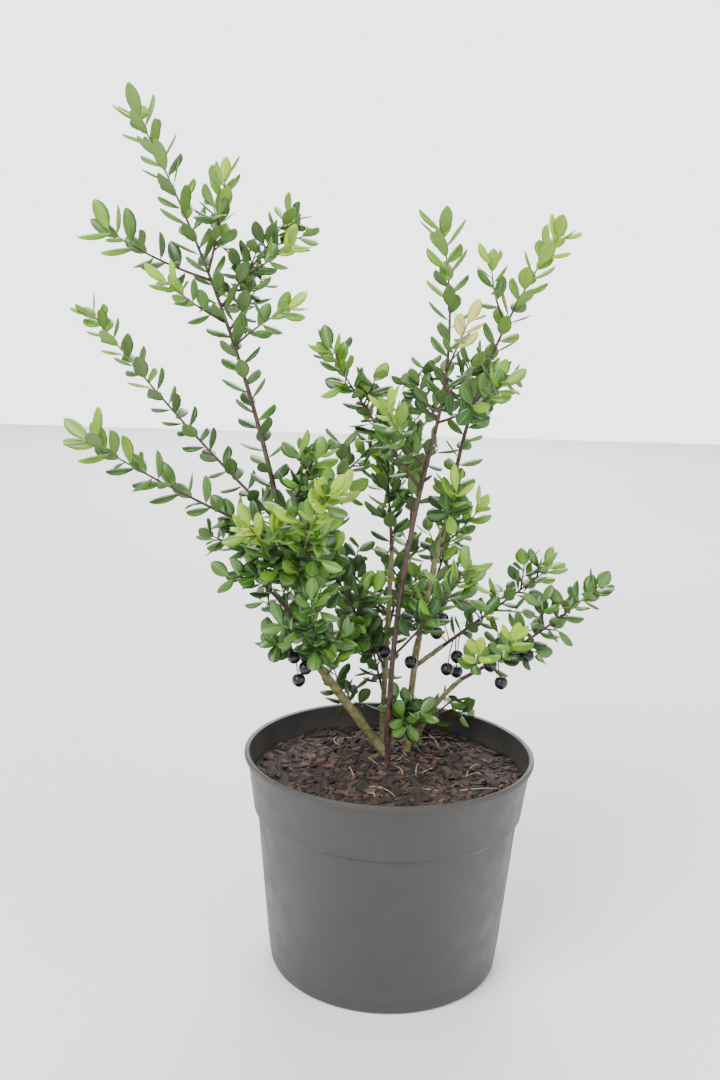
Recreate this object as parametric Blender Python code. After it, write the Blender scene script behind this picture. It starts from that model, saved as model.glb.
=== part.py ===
"""A convexa japanese holly in its nursery pot, as separate solids.

Metres, +Z up. The origin is the middle of the pot's flat underside, +X is the plant's
right as it is seen from the front and +Y points away from the viewer. Sizes below are in
millimetres unless they say otherwise, and places are (right, back, up) from the origin.
"""

import math
import random
from typing import NamedTuple

import bmesh
import bpy
from mathutils import Matrix, Vector
from mathutils.bvhtree import BVHTree

MM = 0.001
CLEAR = 0.3

# Pot: a thin moulded nursery pot of 17 cm, with a deep collar under its lip
POT_HEIGHT = 128.8
LIP_RADIUS = 85.0
LIP_HEIGHT = 3.0
COLLAR_TOP_RADIUS = 83.2
COLLAR_FOOT_RADIUS = 79.1
COLLAR_FOOT = 95.5
BODY_TOP_RADIUS = 77.0
BODY_FOOT_RADIUS = 68.4
BASE_RADIUS = 67.7
WALL = 1.5
FLOOR = 2.0
POT_SIDES = 36
DRAIN_HOLES = 8
DRAIN_RADIUS = 4.5
DRAIN_CIRCLE = 50.0

# Compost: fills the pot to a little under its rim
COMPOST_LEVEL = 114.0

# Wood
STEM_SIDES = 7
RING_STEP = 16.0
FEWEST_BOWED_RINGS = 4
FLARE = 0.9
FLARE_HEIGHT = 6.0
TWIG_SIDES = 3
SHOOT_RING_STEP = 24.0
TWIG_TIP_RADIUS = 0.35
SIDE_TWIG_RADIUS = 0.65
SIDE_TWIG_BARE = 0.25
SIDE_TWIG_LEAN = 0.75
SIDE_TWIG_LIFT = Vector((0, 0, 0.25))
FIRST_TWIG_TURN = 1.1
SMOOTH_UNDER = math.radians(50)

# Leaves and berries
TURN = math.radians(137.5)
LEAF_DOME = 0.07
LEAF_DROOP = 0.04
LEAF_WIDEST = 0.56
LEAF_ROOT_SUNK = 0.12
LEAF_FOOT = 2.5
LIFT_TO_LIGHT = Vector((0, 0, 0.22))
FACE_TO_LIGHT = Vector((0, 0, 0.8))
FIRST_LEAF = 0.6
LAST_LEAF = 0.985
CROWDING = 1.3
MOST_TURNS = 6
TURN_ASIDE = math.radians(34)
BERRY_RADIUS = 3.3
STALK_RADIUS = 0.45


class Limb(NamedTuple):
    """A bare woody limb: its middle stands off the straight line from foot to tip by bow."""

    name: str
    parent: str
    at: float
    tip: tuple
    bow: tuple
    radii: tuple
    bark: str


class Shoot(NamedTuple):
    """A leafy shoot: bare of leaves up to a share of its length, with side twigs of its own."""

    name: str
    parent: str
    at: float
    tip: tuple
    bow: tuple
    radius: float
    leaf: str
    bare: float = 0.1
    twigs: int = 0
    twig_length: float = 22.0
    phase: int = 0


class Leaf(NamedTuple):
    """A kind of leaf, from the foot of its shoot to the tip: length, width and spread."""

    lengths: tuple
    widths: tuple
    spreads: tuple
    spacing: float


LEAVES = {
    "old": Leaf((16.0, 15.0), (11.5, 10.5), (64, 44), 9.4),
    "mid": Leaf((17.0, 16.0), (11.5, 9.5), (62, 40), 8.7),
    "long": Leaf((17.5, 20.0), (10.5, 9.0), (64, 42), 8.2),
    "round": Leaf((18.0, 18.0), (12.5, 10.0), (70, 40), 8.0),
    "fresh": Leaf((16.0, 18.0), (9.0, 8.5), (62, 34), 7.2),
}

# Stems, each from its foot in the compost, as (right, back) of the pot's middle
STEM_FEET = {
    "stem_left": (2, 24),
    "stem_middle": (0, 12),
    "stem_back": (-4, 34),
    "stem_right": (12, 30),
    "stem_low_right": (15, 39),
}
LIMBS = [
    Limb("stem_left", "", 0, (-50, 10, 184), (0, 0, 0), (2.9, 2.5), "olive"),
    Limb("stem_middle", "", 0, (20, 6, 315), (-7, -5, 1), (1.8, 1.3), "brown"),
    Limb("stem_back", "", 0, (-1, 42, 240), (0, 0, 0), (1.9, 1.4), "olive"),
    Limb("stem_right", "", 0, (32, 32, 266), (-5, 0, 0), (2.1, 1.6), "olive"),
    Limb("stem_low_right", "", 0, (43, 18, 167), (-4, 0, 2), (1.8, 1.4), "olive"),
    Limb("bough_upper_left", "stem_left", 1, (-68, 0, 272), (1, 0, 0), (2.0, 1.7), "brown"),
    Limb("bough_lower_left", "bough_upper_left", 0.1, (-67, -8, 220), (1, 0, 0), (1.5, 1.2), "brown"),
    Limb("bough_right", "stem_right", 0.38, (32, 30, 184), (0, 0, 0), (1.5, 1.3), "olive"),
]

# Masses of foliage: the first shoot of each is its stem, which springs from a limb
MASSES = {
    "foliage_top_left": [
        Shoot("leader", "bough_upper_left", 1, (-151, 25, 485), (7, 0, 3), 1.6, "long", 0.03),
        Shoot("leader_left", "leader", 0.57, (-157, -25, 418), (-1, 1, -2), 0.9, "long", 0.2),
        Shoot("leader_low", "leader", 0.46, (-125, -30, 392), (-1, 0, -1), 0.8, "fresh", 0.2),
        Shoot("leader_up", "leader", 0.59, (-99, 0, 449), (1, 0, 0), 0.9, "fresh", 0.15, 1),
        Shoot("leader_back", "leader", 0.5, (-66, 45, 437), (0, 0, 0), 0.9, "mid", 0.1, 2),
        Shoot("leader_right", "leader_back", 0.3, (-63, 0, 415), (0, 0, 0), 0.8, "fresh", 0.1),
        Shoot("leader_mid", "leader", 0.44, (-82, 40, 399), (0, 0, 0), 0.8, "mid", 0.1, 1),
        Shoot("leader_front", "leader", 0.4, (-61, -30, 381), (-1, 0, 1), 0.8, "fresh", 0.2),
    ],
    "foliage_high_left": [
        Shoot("high_left", "bough_upper_left", 0.86, (-181, 35, 377), (-2, 0, -2), 1.1, "mid", 0.06),
    ],
    "foliage_low_left": [
        Shoot("low_left", "bough_upper_left", 0.76, (-162, -55, 311), (-2, 1, -2), 1.1, "long", 0.1),
    ],
    "foliage_small_left": [
        Shoot("small_left", "bough_upper_left", 0.6, (-105, -10, 255), (0, 0, 0), 0.9, "old", 0.15, 2),
    ],
    "foliage_front_left": [
        Shoot("front_left", "bough_upper_left", 0.42, (-78, -55, 268), (-1, 1, 0), 1.0, "fresh", 0.15, 2),
    ],
    "foliage_front_middle": [
        Shoot("front_middle", "bough_upper_left", 0.3, (-37, -75, 289), (-5, 1, 3), 1.2, "fresh", 0.15, 4, 20, 25),
    ],
    "foliage_inner": [
        Shoot("inner", "bough_upper_left", 0.72, (-8, 40, 309), (-3, 0, 2), 1.1, "mid", 0.12, 4, 20),
    ],
    "foliage_inner_front": [
        Shoot("inner_front", "bough_upper_left", 0.92, (-44, -20, 303), (0, 0, -2), 0.9, "mid", 0.12, 3, 16),
    ],
    "foliage_behind_left": [
        Shoot("behind_left", "bough_upper_left", 0.5, (-80, 78, 262), (0, 0, -4), 1.1, "mid", 0.15, 4),
    ],
    "foliage_behind_low": [
        Shoot("behind_low", "stem_left", 0.88, (-72, 68, 215), (0, 0, -4), 1.0, "old", 0.2, 4),
    ],
    "foliage_lower_left": [
        Shoot("lower_left", "bough_lower_left", 1, (-80, -20, 238), (-1, 0, 0), 1.0, "old", 0.05, 3, 18),
    ],
    "foliage_lower_front": [
        Shoot("lower_front", "stem_left", 0.84, (-46, -48, 228), (0, 0, -4), 1.0, "old", 0.2, 4),
    ],
    "foliage_berry_left": [
        Shoot("berry_left", "stem_left", 0.97, (-71, -15, 200), (-1, 0, -2), 0.8, "old", 0.3, 1, 14),
    ],
    "foliage_front_low": [
        Shoot("front_low", "stem_left", 0.78, (-31, -20, 191), (1, 0, 0), 0.8, "fresh", 0.45),
    ],
    "foliage_foot_left": [
        Shoot("foot_left", "stem_left", 0.5, (-30, 45, 150), (0, 0, -3), 0.9, "old", 0.2, 2),
    ],
    "foliage_centre": [
        Shoot("centre", "stem_back", 0.43, (-47, -30, 264), (-1, 1, 1), 1.0, "mid", 0.1, 4, 20),
    ],
    "foliage_centre_low": [
        Shoot("centre_low", "stem_back", 0.5, (-32, 10, 196), (-1, 0, -1), 0.8, "old", 0.2, 2, 16),
    ],
    "foliage_centre_back": [
        Shoot("centre_back", "stem_back", 0.69, (-45, 60, 248), (-1, 0, -1), 0.9, "old", 0.1, 3, 18),
    ],
    "foliage_behind_middle": [
        Shoot("behind_middle", "stem_back", 0.6, (10, 92, 238), (0, 0, -4), 1.1, "mid", 0.15, 4),
    ],
    "foliage_behind_foot": [
        Shoot("behind_foot", "stem_back", 0.3, (-14, 72, 188), (0, 0, -3), 1.0, "old", 0.15, 4),
    ],
    "foliage_back_stem": [
        Shoot("back_stem", "stem_back", 1, (-6, 50, 296), (0, 0, 0), 1.2, "long", 0.04, 2, 18),
    ],
    "foliage_middle_left": [
        Shoot("middle_left", "stem_middle", 0.84, (-40, -35, 360), (-1, 1, 0), 1.1, "mid", 0.1, 2, 16),
    ],
    "foliage_middle_front": [
        Shoot("middle_front", "stem_middle", 0.9, (-9, -50, 331), (-2, 0, 0), 0.9, "fresh", 0.15),
    ],
    "foliage_middle_back": [
        Shoot("middle_back", "stem_middle", 0.7, (12, 85, 318), (0, 0, -6), 1.1, "mid", 0.3, 3),
    ],
    "foliage_top_middle": [
        Shoot("top_middle", "stem_middle", 1, (20, 10, 426), (6, 0, 1), 1.2, "long", 0.04),
        Shoot("top_middle_back", "top_middle", 0.05, (5, 45, 342), (2, 0, 1), 0.8, "old", 0.15, 2, 16),
        Shoot("top_middle_right", "top_middle", 0.05, (52, -40, 345), (2, 0, -2), 0.9, "mid", 0.15, 1, 16),
        Shoot("top_middle_yellow", "top_middle", 0.3, (34, -20, 377), (0, 0, 0), 0.7, "fresh", 0.3),
        Shoot("top_middle_far", "top_middle", 0.16, (49, 50, 355), (-1, 0, 0), 0.8, "mid", 0.15, 2, 16),
    ],
    "foliage_top_right": [
        Shoot("top_right", "stem_right", 1, (89, 35, 428), (-10, 0, 4), 1.5, "round", 0.04),
        Shoot("top_right_left", "top_right", 0.66, (48, 10, 409), (-2, 0, 0), 0.8, "fresh", 0.25),
        Shoot("top_right_back", "top_right", 0.4, (62, 88, 350), (0, 0, -4), 1.0, "old", 0.15, 2, 18),
    ],
    "foliage_right_front": [
        Shoot("right_front", "stem_right", 0.9, (33, -5, 283), (0, 0, 0), 0.8, "fresh", 0.2, 1, 16),
    ],
    "foliage_right_side": [
        Shoot("right_side", "stem_right", 0.86, (48, 10, 272), (1, 0, -1), 0.8, "fresh", 0.25),
    ],
    "foliage_right_back": [
        Shoot("right_back", "stem_right", 0.62, (38, 88, 246), (0, 0, -4), 1.1, "mid", 0.2, 4),
    ],
    "foliage_right_inner": [
        Shoot("right_inner", "stem_right", 0.5, (12, 10, 222), (0, 0, 0), 0.8, "old", 0.1, 2, 16),
    ],
    "foliage_right_low": [
        Shoot("right_low", "stem_middle", 0.35, (40, -20, 242), (1, 0, -1), 0.9, "mid", 0.2, 2, 16),
    ],
    "foliage_right_foot": [
        Shoot("right_foot", "stem_right", 0.16, (8, 4, 146), (0, 0, 0), 0.8, "old", 0.2, 2, 16),
    ],
    "foliage_far_foot": [
        Shoot("far_foot", "stem_low_right", 0.3, (40, 52, 142), (0, 0, 0), 0.8, "old", 0.15, 2, 16),
    ],
    "foliage_right": [
        Shoot("right", "bough_right", 1, (97, 45, 231), (0, 0, 0), 1.2, "mid", 0.08, 3, 18),
    ],
    "foliage_far_right": [
        Shoot("far_right", "stem_low_right", 1, (115, -15, 234), (2, 0, -2), 1.3, "old", 0.08, 4, 18),
        Shoot("far_right_front", "far_right", 0.06, (48, -20, 193), (1, 0, 0), 0.8, "fresh", 0.3),
        Shoot("far_right_low", "far_right", 0.24, (66, -30, 205), (1, 0, -1), 0.8, "fresh", 0.3),
    ],
}

# Berries: the shoot that carries each, how far along it, and the berry's middle
BERRIES = [
    ("berry_left", 0.16, (-57, -4, 184)),
    ("berry_left", 0.1, (-48, -2, 185)),
    ("berry_left", 0.22, (-50, -9, 179)),
    ("berry_left", 0.3, (-54, -3, 170)),
    ("centre_low", 0.12, (-4, 24, 181)),
    ("right_inner", 0.1, (12, 20, 176)),
    ("right", 0.05, (31, 33, 200)),
    ("right", 0.03, (27, 22, 194)),
    ("right", 0.1, (34, 21, 172)),
    ("right", 0.12, (41, 33, 167)),
    ("right", 0.16, (40, 24, 179)),
    ("far_right", 0.18, (58, 5, 180)),
    ("far_right", 0.26, (65, 6, 169)),
    ("far_right", 0.36, (79, 3, 187)),
]


def lerp(pair, share):
    return pair[0] + (pair[1] - pair[0]) * share


class Path:
    """A bowed line from foot to tip with a radius that tapers along it, in millimetres."""

    def __init__(self, foot, tip, bow, radii, plane=None):
        self.foot = Vector(foot)
        self.tip = Vector(tip)
        self.bow = Vector(bow)
        self.radii = radii
        self.plane = plane

    def point(self, t):
        return self.foot.lerp(self.tip, t) + self.bow * (4 * t * (1 - t))

    def heading(self, t):
        return (self.tip - self.foot + self.bow * (4 - 8 * t)).normalized()

    def length(self):
        return (self.tip - self.foot).length

    def radius(self, t):
        return lerp(self.radii, t)


def clear_scene():
    for thing in list(bpy.data.objects):
        bpy.data.objects.remove(thing, do_unlink=True)


def finish(name, colour, roughness):
    """A plain finish in the colour that the real surface shows."""
    material = bpy.data.materials.new(name)
    material.use_nodes = True
    shader = material.node_tree.nodes["Principled BSDF"]
    shader.inputs["Base Color"].default_value = (*colour, 1)
    shader.inputs["Roughness"].default_value = roughness
    shader.inputs["Metallic"].default_value = 0
    return material


def new_object(name, points, faces, material, edges=()):
    """One mesh object from points in millimetres."""
    mesh = bpy.data.meshes.new(name)
    mesh.from_pydata([tuple(point * MM) for point in points], edges, faces)
    mesh.materials.append(material)
    thing = bpy.data.objects.new(name, mesh)
    bpy.context.scene.collection.objects.link(thing)
    return thing


def turned(name, profile, material):
    """A round piece from its profile, which runs down its outer side."""
    points = [Vector((radius, 0, height)) for radius, height in profile]
    edges = [(k, k + 1) for k in range(len(points) - 1)]
    thing = new_object(name, points, [], material, edges)
    screw = thing.modifiers.new("turned", "SCREW")
    screw.steps = POT_SIDES
    screw.render_steps = POT_SIDES
    screw.use_merge_vertices = True
    screw.merge_threshold = 0.00001
    screw.use_smooth_shade = False
    return thing


def inner_wall():
    """The pot's inner side from its floor up, as (radius, height)."""
    return [
        (BODY_FOOT_RADIUS - WALL - 0.8, FLOOR),
        (BODY_TOP_RADIUS - WALL, COLLAR_FOOT - 1.5),
        (COLLAR_FOOT_RADIUS - WALL, COLLAR_FOOT + 0.5),
        (COLLAR_TOP_RADIUS - WALL, POT_HEIGHT - LIP_HEIGHT),
        (COLLAR_TOP_RADIUS - WALL + 0.6, POT_HEIGHT),
    ]


def make_pot(material):
    outer = [
        (LIP_RADIUS - 0.5, POT_HEIGHT),
        (LIP_RADIUS, POT_HEIGHT - 0.8),
        (LIP_RADIUS - 0.3, POT_HEIGHT - LIP_HEIGHT),
        (COLLAR_TOP_RADIUS, POT_HEIGHT - LIP_HEIGHT - 0.4),
        (COLLAR_FOOT_RADIUS, COLLAR_FOOT),
        (BODY_TOP_RADIUS, COLLAR_FOOT - 1.0),
        (BODY_FOOT_RADIUS, 6.0),
        (BASE_RADIUS, 1.6),
        (BASE_RADIUS - 1.6, 0),
        (0, 0),
    ]
    pot = turned("pot", [(0, FLOOR)] + inner_wall() + outer, material)
    cutter = bmesh.new()
    for k in range(DRAIN_HOLES):
        angle = math.tau * (k + 0.5) / DRAIN_HOLES
        place = Vector((math.cos(angle), math.sin(angle), 0)) * DRAIN_CIRCLE * MM
        bmesh.ops.create_cone(
            cutter,
            cap_ends=True,
            segments=8,
            radius1=DRAIN_RADIUS * MM,
            radius2=DRAIN_RADIUS * MM,
            depth=4 * FLOOR * MM,
            matrix=Matrix.Translation(place),
        )
    drain = bpy.data.objects.new("drain_cutter", bpy.data.meshes.new("drain_cutter"))
    cutter.to_mesh(drain.data)
    cutter.free()
    bpy.context.scene.collection.objects.link(drain)
    drain.hide_render = True
    drain.display_type = "WIRE"
    cut = pot.modifiers.new("drain holes", "BOOLEAN")
    cut.operation = "DIFFERENCE"
    cut.object = drain


def make_compost(material):
    wall = [(radius - CLEAR - 0.1, height) for radius, height in inner_wall()[:4]]
    low, step_low, step_high, high = wall
    share = (COMPOST_LEVEL - step_high[1]) / (high[1] - step_high[1])
    top = (step_high[0] + (high[0] - step_high[0]) * share, COMPOST_LEVEL)
    sides = [top, (step_high[0], step_high[1] + 0.3), (step_low[0], step_low[1])]
    foot = (low[0], low[1] + CLEAR)
    turned("compost", [(0, COMPOST_LEVEL), *sides, foot, (0, foot[1])], material)


def ring(centre, heading, sideways, radius, sides):
    """A ring of points square to heading, the first of them towards sideways."""
    other = heading.cross(sideways)
    points = []
    for k in range(sides):
        angle = math.tau * k / sides
        points.append(centre + (sideways * math.cos(angle) + other * math.sin(angle)) * radius)
    return points


def tube(path, sides, step, flare=0.0):
    """A closed tapering tube along a path, with its foot cut by the path's own plane."""
    count = max(FEWEST_BOWED_RINGS, round(path.length() / step) + 1) if path.bow.length else 2
    heading = path.heading(0)
    sideways = heading.orthogonal().normalized()
    rings = []
    places = [k / (count - 1) for k in range(count)]
    if flare:
        places.insert(1, FLARE_HEIGHT / path.length())
    for place in places:
        heading = path.heading(place)
        sideways = (sideways - heading * sideways.dot(heading)).normalized()
        radius = path.radius(place) + (flare if place == 0 else 0)
        rings.append(ring(path.point(place), heading, sideways, radius, sides))
    if path.plane:
        at, square = path.plane
        lead = path.heading(0)
        rings[0] = [point + lead * ((at - point).dot(square) / lead.dot(square)) for point in rings[0]]
    points = [point for one in rings for point in one]
    faces = [tuple(reversed(range(sides)))]
    for k in range(len(rings) - 1):
        for j in range(sides):
            low, next_low = k * sides + j, k * sides + (j + 1) % sides
            faces.append((low, next_low, next_low + sides, low + sides))
    last = len(points) - sides
    faces.append(tuple(range(last, last + sides)))
    return points, faces


def sprung_from(parent, at, tip, bow, radii):
    """A path that starts just clear of its parent's side, or of its tip where at is 1."""
    start = parent.point(at)
    lead = (Vector(tip) - start + Vector(bow) * 4).normalized()
    along = parent.heading(at)
    if at == 1:
        foot = start + lead * (CLEAR / lead.dot(along))
        return Path(foot, tip, bow, radii, (foot, along))
    out = (lead - along * lead.dot(along)).normalized()
    foot = start + lead * ((parent.radius(at) + CLEAR) / lead.dot(out))
    return Path(foot, tip, bow, radii, (foot, out))


def blade(root, along, face, length, width):
    """A domed leaf of six faces: its root, its two sides, its tip and the crown of its upper side."""
    across = along.cross(face)
    middle = root + along * (length * LEAF_WIDEST)
    droop = face * (length * LEAF_DROOP)
    points = [
        root,
        middle - across * (width / 2) - droop,
        middle + across * (width / 2) - droop,
        root + along * length - droop,
        middle + face * (length * LEAF_DOME),
    ]
    faces = [(0, 4, 1), (1, 4, 3), (3, 4, 2), (2, 4, 0), (0, 1, 2), (2, 1, 3)]
    return points, faces


def berry(centre):
    """A round berry of twenty faces."""
    ball = bmesh.new()
    bmesh.ops.create_icosphere(ball, subdivisions=1, radius=BERRY_RADIUS)
    points = [centre + vert.co for vert in ball.verts]
    faces = [tuple(vert.index for vert in face.verts) for face in ball.faces]
    ball.free()
    return points, faces


def hang_berry(name, start, middle, ground):
    """A berry on its stalk, which runs from inside the twig to inside the berry."""
    stalk = Path(start, middle, (0, 0, 0), (STALK_RADIUS, STALK_RADIUS))
    points, faces = tube(stalk, TWIG_SIDES, SHOOT_RING_STEP)
    ground.add(name, "twig", points, faces)
    points, faces = berry(middle)
    ground.add(name, "berry", points, faces)


def swollen(points, by):
    """The same points a little further from their middle, to ask for room round a leaf."""
    middle = sum(points, Vector()) / len(points)
    return [point + (point - middle).normalized() * by for point in points]


class Ground:
    """Every shape made so far, each with its owner, so that new ones can keep clear of them."""

    def __init__(self):
        self.shapes = []

    def add(self, owner, kind, points, faces):
        self.shapes.append((owner, kind, points, faces))

    def tree(self, keep):
        points, faces = [], []
        for owner, kind, own_points, own_faces in self.shapes:
            if keep(owner, kind):
                shift = len(points)
                points += own_points
                faces += [tuple(k + shift for k in face) for face in own_faces]
        return BVHTree.FromPolygons(points, faces) if faces else None


def leaf_places(path, kind, bare, phase):
    """Each leaf's place and spread along a shoot, a step further round it each time."""
    leaf = LEAVES[kind]
    leafy = path.length() * (1 - bare)
    count = max(3, round(leafy / leaf.spacing))
    for k in range(count):
        share = (k + FIRST_LEAF) / count
        t = bare + (1 - bare) * (1 - (1 - share) ** CROWDING)
        yield min(t, LAST_LEAF), phase + k * TURN, leaf


def side_twigs(path, shoot, dice):
    """Short twigs of a shoot, shared out along it and turned about it like its leaves."""
    for k in range(shoot.twigs):
        t = shoot.bare + (1 - shoot.bare) * (k + 0.5) / (shoot.twigs + 0.6)
        turn = math.radians(shoot.phase) + FIRST_TWIG_TURN + k * TURN
        heading = path.heading(t)
        start = path.point(t)
        side = around(heading, turn)
        lead = (heading * SIDE_TWIG_LEAN + side + SIDE_TWIG_LIFT).normalized()
        length = shoot.twig_length * dice.uniform(0.8, 1.15)
        yield Path(start, start + lead * length, (0, 0, 0), (SIDE_TWIG_RADIUS, TWIG_TIP_RADIUS))


def around(heading, turn):
    """The direction square to a shoot that a turn about it gives."""
    level = heading.cross(Vector((0, 1, 0)))
    if level.length < 0.3:
        level = heading.cross(Vector((1, 0, 0)))
    level.normalize()
    return level * math.cos(turn) + level.cross(heading) * math.sin(turn)


def leaf_frame(path, t, turn, leaf):
    """Root, direction, upper side, length and width of one leaf."""
    heading = path.heading(t)
    side = around(heading, turn)
    spread = math.radians(lerp(leaf.spreads, t))
    along = heading * math.cos(spread) + side * math.sin(spread)
    along = (along + LIFT_TO_LIGHT).normalized()
    face = heading + FACE_TO_LIGHT
    face = (face - along * face.dot(along)).normalized()
    root = path.point(t) - along * LEAF_ROOT_SUNK
    return root, along, face, lerp(leaf.lengths, t), lerp(leaf.widths, t)


def room_for(shape, trees):
    points, faces = shape
    probe = BVHTree.FromPolygons(points, faces)
    return all(tree is None or not probe.overlap(tree) for tree in trees)


def grow_twigs(name, shoots, limbs, ground):
    """A mass's stem, the shoots on it and their side twigs, as what leaves can grow on."""
    paths = {}
    leafy = []
    dice = random.Random(name)
    for shoot in shoots:
        radii = (shoot.radius, TWIG_TIP_RADIUS)
        if shoot.parent in limbs:
            path = sprung_from(limbs[shoot.parent], shoot.at, shoot.tip, shoot.bow, radii)
        else:
            path = Path(paths[shoot.parent].point(shoot.at), shoot.tip, shoot.bow, radii)
        paths[shoot.name] = path
        points, faces = tube(path, TWIG_SIDES, SHOOT_RING_STEP)
        ground.add(name, "twig", points, faces)
        leafy.append((path, shoot.leaf, shoot.bare, math.radians(shoot.phase)))
    for shoot_name, at, middle in BERRIES:
        if shoot_name in paths:
            hang_berry(name, paths[shoot_name].point(at), Vector(middle), ground)
    others = ground.tree(lambda owner, kind: owner != name)
    for shoot in shoots:
        for path in side_twigs(paths[shoot.name], shoot, dice):
            points, faces = tube(path, TWIG_SIDES, SHOOT_RING_STEP)
            if room_for((swollen(points, CLEAR), faces), [others]):
                ground.add(name, "twig", points, faces)
                leafy.append((path, shoot.leaf, SIDE_TWIG_BARE, dice.uniform(0, math.tau)))
    return leafy


def grow_leaves(name, leafy, ground):
    """A mass's leaves, each turned aside until it has room, or left out."""
    others = ground.tree(lambda owner, kind: owner != name)
    for path, kind, bare, phase in leafy:
        for t, turn, leaf in leaf_places(path, kind, bare, phase):
            own = ground.tree(lambda owner, kind: owner == name and kind != "twig")
            for attempt in range(MOST_TURNS):
                aside = ((attempt + 1) // 2) * TURN_ASIDE * (-1) ** attempt
                root, along, face, length, width = leaf_frame(path, t, turn + aside, leaf)
                points, faces = blade(root, along, face, length, width)
                outer = blade(root + along * LEAF_FOOT, along, face, length - LEAF_FOOT, width)
                wide = (swollen(outer[0], CLEAR), outer[1])
                if min(point.z for point in points) < COMPOST_LEVEL + 1:
                    continue
                if room_for(wide, [others, own]) and room_for((points, faces), [others]):
                    ground.add(name, "leaf", points, faces)
                    break


def fuse(name, ground, material):
    """One solid from a mass's twigs, leaves and berries, with hollows filled and scraps dropped."""
    shapes = [shape for shape in ground.shapes if shape[0] == name]
    stem = new_object(name, shapes[0][2], shapes[0][3], material)
    parts = bpy.data.collections.new(name + "_parts")
    bpy.context.scene.collection.children.link(parts)
    for k, (_, _, points, faces) in enumerate(shapes[1:]):
        part = new_object(f"{name}_{k}", points, faces, material)
        bpy.context.scene.collection.objects.unlink(part)
        parts.objects.link(part)
    join = stem.modifiers.new("fused", "BOOLEAN")
    join.operation = "UNION"
    join.operand_type = "COLLECTION"
    join.collection = parts
    bpy.context.view_layer.update()
    graph = bpy.context.evaluated_depsgraph_get()
    mesh = bpy.data.meshes.new_from_object(stem.evaluated_get(graph))
    stem.modifiers.clear()
    stem.data = mesh
    for part in list(parts.objects):
        bpy.data.objects.remove(part, do_unlink=True)
    bpy.data.collections.remove(parts)
    keep_largest(mesh)


def keep_largest(mesh):
    """Drops every shell of a mesh but the one with the most faces."""
    work = bmesh.new()
    work.from_mesh(mesh)
    bmesh.ops.dissolve_degenerate(work, dist=1e-7, edges=work.edges)
    bmesh.ops.triangulate(work, faces=work.faces)
    left = set(work.faces)
    shells = []
    while left:
        shell = {left.pop()}
        border = list(shell)
        while border:
            face = border.pop()
            for edge in face.edges:
                for other in edge.link_faces:
                    if other in left:
                        left.remove(other)
                        shell.add(other)
                        border.append(other)
        shells.append(shell)
    shells.sort(key=len)
    loose = [face for shell in shells[:-1] for face in shell]
    bmesh.ops.delete(work, geom=loose, context="FACES")
    work.to_mesh(mesh)
    work.free()


def make_limbs(ground, barks):
    limbs = {}
    for limb in LIMBS:
        if limb.parent:
            path = sprung_from(limbs[limb.parent], limb.at, limb.tip, limb.bow, limb.radii)
        else:
            foot = Vector((*STEM_FEET[limb.name], COMPOST_LEVEL + CLEAR))
            path = Path(foot, limb.tip, limb.bow, limb.radii, (foot, Vector((0, 0, 1))))
        limbs[limb.name] = path
        points, faces = tube(path, STEM_SIDES, RING_STEP, 0 if limb.parent else FLARE)
        ground.add(limb.name, "limb", points, faces)
        thing = new_object(limb.name, points, faces, barks[limb.bark])
        for face in thing.data.polygons:
            face.use_smooth = True
        thing.data.set_sharp_from_angle(angle=SMOOTH_UNDER)
    return limbs


def build():
    clear_scene()
    make_pot(finish("pot_plastic", (0.115, 0.105, 0.1), 0.6))
    make_compost(finish("compost", (0.05, 0.03, 0.022), 0.95))
    barks = {
        "olive": finish("olive_bark", (0.2, 0.19, 0.07), 0.7),
        "brown": finish("brown_bark", (0.1, 0.06, 0.045), 0.7),
    }
    foliage = finish("holly_foliage", (0.09, 0.2, 0.04), 0.4)
    ground = Ground()
    limbs = make_limbs(ground, barks)
    leafy = {}
    for name, shoots in MASSES.items():
        leafy[name] = grow_twigs(name, shoots, limbs, ground)
    for name in MASSES:
        grow_leaves(name, leafy[name], ground)
    for name in MASSES:
        fuse(name, ground, foliage)


build()
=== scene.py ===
"""The looks of a young convexa japanese holly in its nursery pot.

Metres and +Z up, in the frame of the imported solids. +X is the plant's right as it is seen
from the front, and +Y points away from the viewer. Sizes and places are written in
millimetres and brought to metres by MM where a mesh is made.
"""

import math
import random

import bpy
from mathutils import Matrix, Vector, noise


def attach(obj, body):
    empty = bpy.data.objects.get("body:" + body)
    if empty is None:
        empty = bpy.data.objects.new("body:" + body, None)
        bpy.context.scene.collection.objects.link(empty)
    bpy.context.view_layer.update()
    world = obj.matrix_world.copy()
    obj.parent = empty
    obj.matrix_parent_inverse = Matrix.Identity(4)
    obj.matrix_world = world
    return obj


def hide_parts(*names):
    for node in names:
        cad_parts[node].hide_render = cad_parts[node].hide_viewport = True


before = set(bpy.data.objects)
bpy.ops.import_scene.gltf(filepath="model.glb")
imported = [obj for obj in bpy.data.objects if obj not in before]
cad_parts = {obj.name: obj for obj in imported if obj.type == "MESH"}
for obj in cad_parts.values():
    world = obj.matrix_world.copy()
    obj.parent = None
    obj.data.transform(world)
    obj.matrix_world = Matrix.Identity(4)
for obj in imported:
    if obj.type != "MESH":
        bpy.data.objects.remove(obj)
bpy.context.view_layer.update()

# Camera: it stands close in front of the plant, level with the middle of its crown, looks
# down at the pot and leans a little to one side.
CAMERA_PLACE = Vector((-0.02068, -0.61364, 0.36165))
LOOKS_DOWN = 0.17503
LEANS = 0.02881
SENSOR_WIDTH = 36
FOCAL_PIXELS = 1090
PICTURE_HEIGHT = 1080
lens = bpy.data.cameras.new("camera")
lens.sensor_width = SENSOR_WIDTH
lens.lens = SENSOR_WIDTH * FOCAL_PIXELS / PICTURE_HEIGHT
camera = bpy.data.objects.new("camera", lens)
bpy.context.scene.collection.objects.link(camera)
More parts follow.
